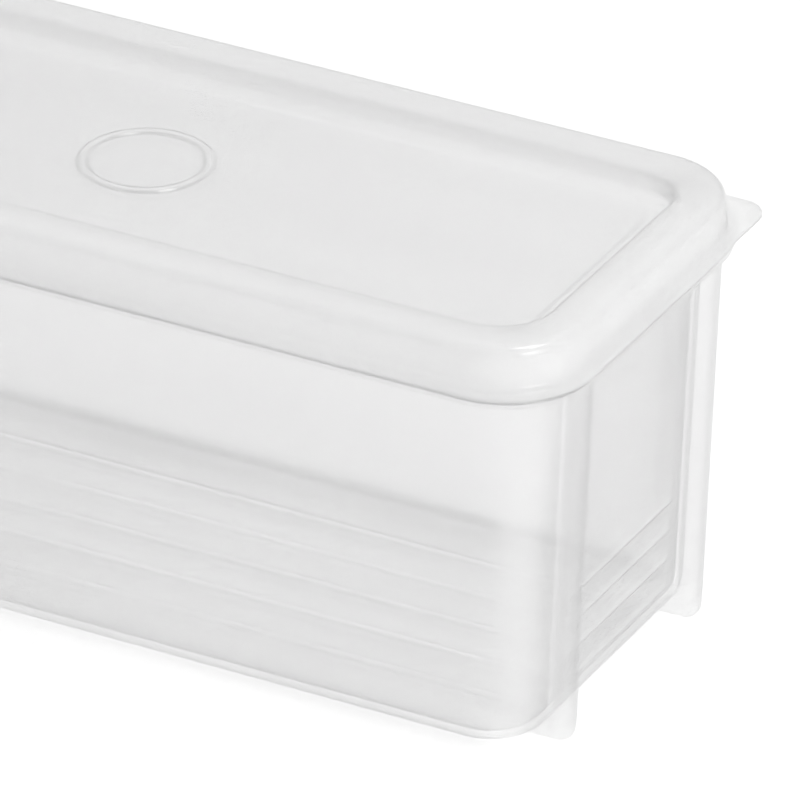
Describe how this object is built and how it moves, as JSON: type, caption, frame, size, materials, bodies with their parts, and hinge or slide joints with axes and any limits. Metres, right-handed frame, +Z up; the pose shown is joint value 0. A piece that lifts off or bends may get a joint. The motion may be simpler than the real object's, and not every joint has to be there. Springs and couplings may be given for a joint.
{
  "type": "fridge bin",
  "caption": "Long, narrow translucent refrigerator bin with a lift-off lid, a corner lift tab, and end-wall fins whose lower ends are its feet",
  "frame": {"origin": "middle of the footprint, on the surface that the feet stand on", "axes": "+X along the bin's length towards the end with the lid's tab, +Y across its width towards the tab's corner, +Z up"},
  "size_m": [0.25, 0.105, 0.102],
  "materials": {
    "bin": "clear, slightly milky moulded polypropylene",
    "lid": "milky moulded polyethylene, satin"
  },
  "bodies": {
    "bin": {"bin": "bin"},
    "lid": {"lid": "lid"}
  },
  "joints": [
    {"name": "lid_lift", "type": "slide", "parent": "bin", "child": "lid", "axis": [0, 0, 1], "range_m": [0, 0.06]}
  ]
}
